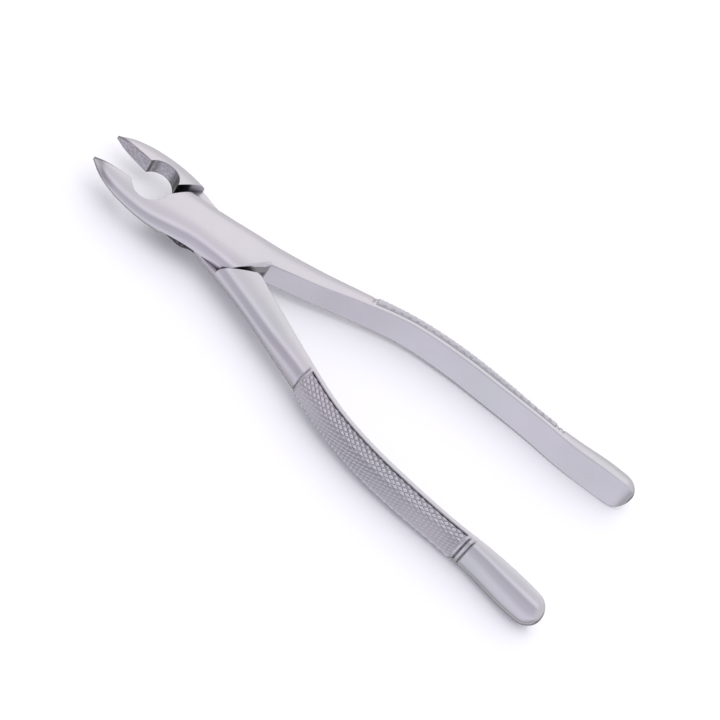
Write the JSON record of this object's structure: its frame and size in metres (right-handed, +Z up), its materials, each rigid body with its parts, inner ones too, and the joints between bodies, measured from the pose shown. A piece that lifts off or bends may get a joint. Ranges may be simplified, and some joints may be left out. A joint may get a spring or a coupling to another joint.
{
  "type": "dental extraction forceps",
  "caption": "Hinged steel forceps with pointed tapering beaks, a half-lap joint on a flush pin, and bowed handles with cross-hatched outer grips and smooth flared ends.",
  "frame": {"origin": "bottom centre of the forceps as they lie on their side, with the beaks part open", "axes": "+X along the length towards the beaks, +Y across towards the front half's beak, +Z up along the pivot axis towards the front lap"},
  "size_m": [0.175, 0.0612, 0.0129],
  "materials": {
    "forged_steel": "satin-polished stainless steel, matt in the hatched grips",
    "pin_steel": "satin-polished stainless steel, ground flush"
  },
  "bodies": {
    "front": {"front_half": "forged_steel", "pivot_pin": "pin_steel"},
    "rear": {"rear_half": "forged_steel"}
  },
  "joints": [
    {"name": "pivot", "type": "hinge", "parent": "front", "child": "rear", "pos_m": [0.04634, 0, 0.0085], "axis": [0, 0, -1], "range_deg": [-15, 25]}
  ]
}
